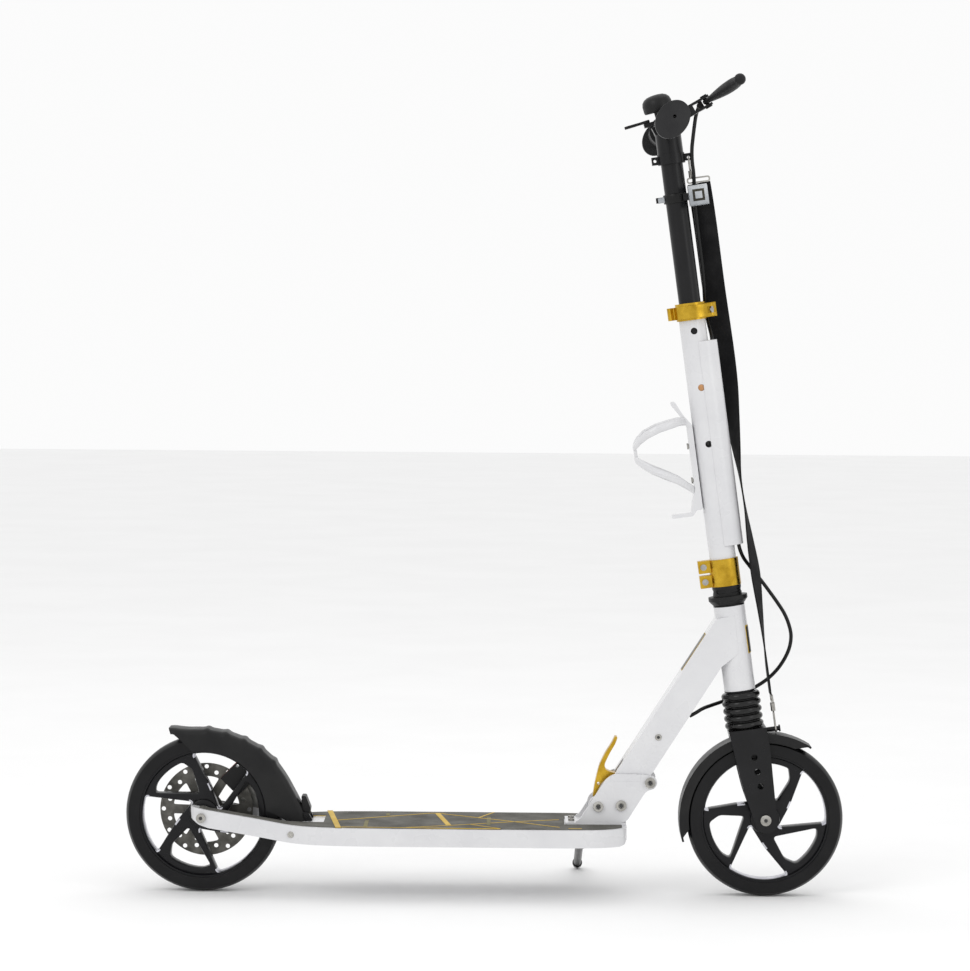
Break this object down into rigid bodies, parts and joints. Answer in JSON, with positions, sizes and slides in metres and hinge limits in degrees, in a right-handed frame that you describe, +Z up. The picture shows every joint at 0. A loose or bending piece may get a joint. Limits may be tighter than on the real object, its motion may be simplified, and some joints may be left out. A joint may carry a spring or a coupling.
{
  "type": "folding kick scooter",
  "caption": "Folding kick scooter with big wheels, a telescoping stem, sprung fork, foot brake, rear disc brake, kickstand, bottle cage and carry strap.",
  "frame": {"origin": "on the ground, midway between the two axles along the length, on the centre plane", "axes": "+X points forward, +Y to the rider's left, +Z up"},
  "size_m": [0.92, 0.412, 1.0372],
  "materials": {
    "white_paint": "gloss white paint",
    "grip": "gritty adhesive tape with a line pattern",
    "gold": "gold anodised",
    "black_metal": "satin black paint",
    "black_plastic": "fine satin moulding",
    "tyre": "smooth cast polyurethane",
    "rubber": "matt",
    "rim": "black with machined window walls",
    "steel": "bright zinc plate",
    "rotor": "drilled dark steel",
    "cast": "plain casting",
    "webbing": "woven nylon webbing",
    "clear": "clear moulding",
    "copper": "copper tone anodised"
  },
  "bodies": {
    "deck": {"deck": "white_paint", "grip_tape": "grip", "fold_bracket": "gold", "fold_bolt": "steel", "lock_bolt": "steel", "deck_screws": "steel", "stand_mount": "black_metal", "rear_axle": "steel", "brake_caliper": "black_metal", "caliper_mount": "cast", "rear_cable": "rubber", "fender_hinge": "black_metal"},
    "kickstand": {"kickstand": "black_metal", "stand_foot": "rubber"},
    "rear_wheel": {"rear_tyre": "tyre", "rear_rim": "rim", "rear_bearings": "steel", "brake_rotor": "rotor", "rotor_bolts": "steel"},
    "rear_fender": {"rear_fender": "black_plastic"},
    "caliper_arm": {"caliper_arm": "cast"},
    "neck": {"neck": "white_paint", "knuckle_bolt": "steel", "headset_cups": "white_paint", "headset_bearings": "steel", "lever_pin": "steel"},
    "foot_lever": {"foot_lever": "gold"},
    "stem": {"steerer": "steel", "headset_cap": "black_metal", "lower_clamp": "gold", "outer_tube": "white_paint", "cable_fairing": "white_paint", "upper_clamp": "gold", "stem_bolts": "steel", "bottle_cage": "white_paint", "front_cable": "rubber", "bellows": "rubber", "fork_spring": "steel"},
    "clamp_lever": {"clamp_lever": "gold"},
    "fork": {"fork": "black_metal", "slider_rod": "steel", "front_fender": "black_plastic", "front_axle": "steel", "lower_hook": "steel"},
    "front_wheel": {"front_tyre": "tyre", "front_rim": "rim", "front_bearings": "steel"},
    "upper": {"inner_tube": "black_metal", "bar_socket": "black_metal", "handlebar": "black_metal", "grips": "rubber", "brake_perch": "black_metal", "bell": "black_plastic", "lamp": "clear", "upper_hook": "steel", "upper_cable": "rubber", "carry_strap": "webbing"},
    "snap_button": {"snap_button": "copper"},
    "brake_lever": {"brake_lever": "black_metal"},
    "bell_lever": {"bell_lever": "black_plastic"}
  },
  "joints": [
    {"name": "stand_swing", "type": "hinge", "parent": "deck", "child": "kickstand", "pos_m": [0.124, 0.045, 0.0589], "axis": [0, 0.342, 0.9397], "range_deg": [0, 88]},
    {"name": "rear_spin", "type": "hinge", "parent": "deck", "child": "rear_wheel", "pos_m": [-0.36, 0, 0.1], "axis": [0, 1, 0], "continuous": true},
    {"name": "fender_brake", "type": "hinge", "parent": "deck", "child": "rear_fender", "pos_m": [-0.229, 0, 0.0985], "axis": [0, -1, 0], "range_deg": [0, 1.6], "stiffness_Nm_per_rad": 6, "springref_deg": -2.86},
    {"name": "caliper_pull", "type": "hinge", "parent": "deck", "child": "caliper_arm", "pos_m": [-0.31899, 0.045, 0.14101], "axis": [0, -1, 0], "range_deg": [0, 20], "stiffness_Nm_per_rad": 0.2, "springref_deg": -5.73},
    {"name": "fold", "type": "hinge", "parent": "deck", "child": "neck", "pos_m": [0.1459, 0, 0.116], "axis": [0, -1, 0], "range_deg": [0, 80]},
    {"name": "foot_latch", "type": "hinge", "parent": "neck", "child": "foot_lever", "pos_m": [0.1735, 0, 0.1485], "axis": [0, 1, 0], "range_deg": [0, 8], "stiffness_Nm_per_rad": 0.6, "springref_deg": -17.19},
    {"name": "steering", "type": "hinge", "parent": "neck", "child": "stem", "pos_m": [0.31913, 0, 0.31894], "axis": [-0.1392, 0, 0.9903], "range_deg": [-50, 50]},
    {"name": "clamp_swing", "type": "hinge", "parent": "stem", "child": "clamp_lever", "pos_m": [0.28413, -0.016, 0.75481], "axis": [-0.1392, 0, 0.9903], "range_deg": [0, 95]},
    {"name": "suspension", "type": "slide", "parent": "stem", "child": "fork", "axis": [-0.1392, 0, 0.9903], "range_m": [0, 0.014], "stiffness_N_per_m": 16000, "springref_m": -0.008, "deforming": ["bellows", "fork_spring"]},
    {"name": "front_spin", "type": "hinge", "parent": "fork", "child": "front_wheel", "pos_m": [0.36, 0, 0.1], "axis": [0, 1, 0], "continuous": true},
    {"name": "height", "type": "slide", "parent": "stem", "child": "upper", "axis": [-0.1392, 0, 0.9903], "range_m": [-0.0725, 0.0725], "deforming": ["carry_strap", "upper_cable"]},
    {"name": "button_press", "type": "slide", "parent": "upper", "child": "snap_button", "axis": [0, 1, 0], "range_m": [0, 0.003], "stiffness_N_per_m": 400, "springref_m": -0.002},
    {"name": "brake_squeeze", "type": "hinge", "parent": "upper", "child": "brake_lever", "pos_m": [0.27062, -0.082, 1.00931], "axis": [-0.5075, 0, 0.8616], "range_deg": [0, 20], "stiffness_Nm_per_rad": 1.2, "springref_deg": -11.46},
    {"name": "bell_flick", "type": "hinge", "parent": "upper", "child": "bell_lever", "pos_m": [0.20193, 0.064, 0.99216], "axis": [-0.3007, 0, 0.9537], "range_deg": [0, 30], "stiffness_Nm_per_rad": 0.03, "springref_deg": -5.73}
  ]
}
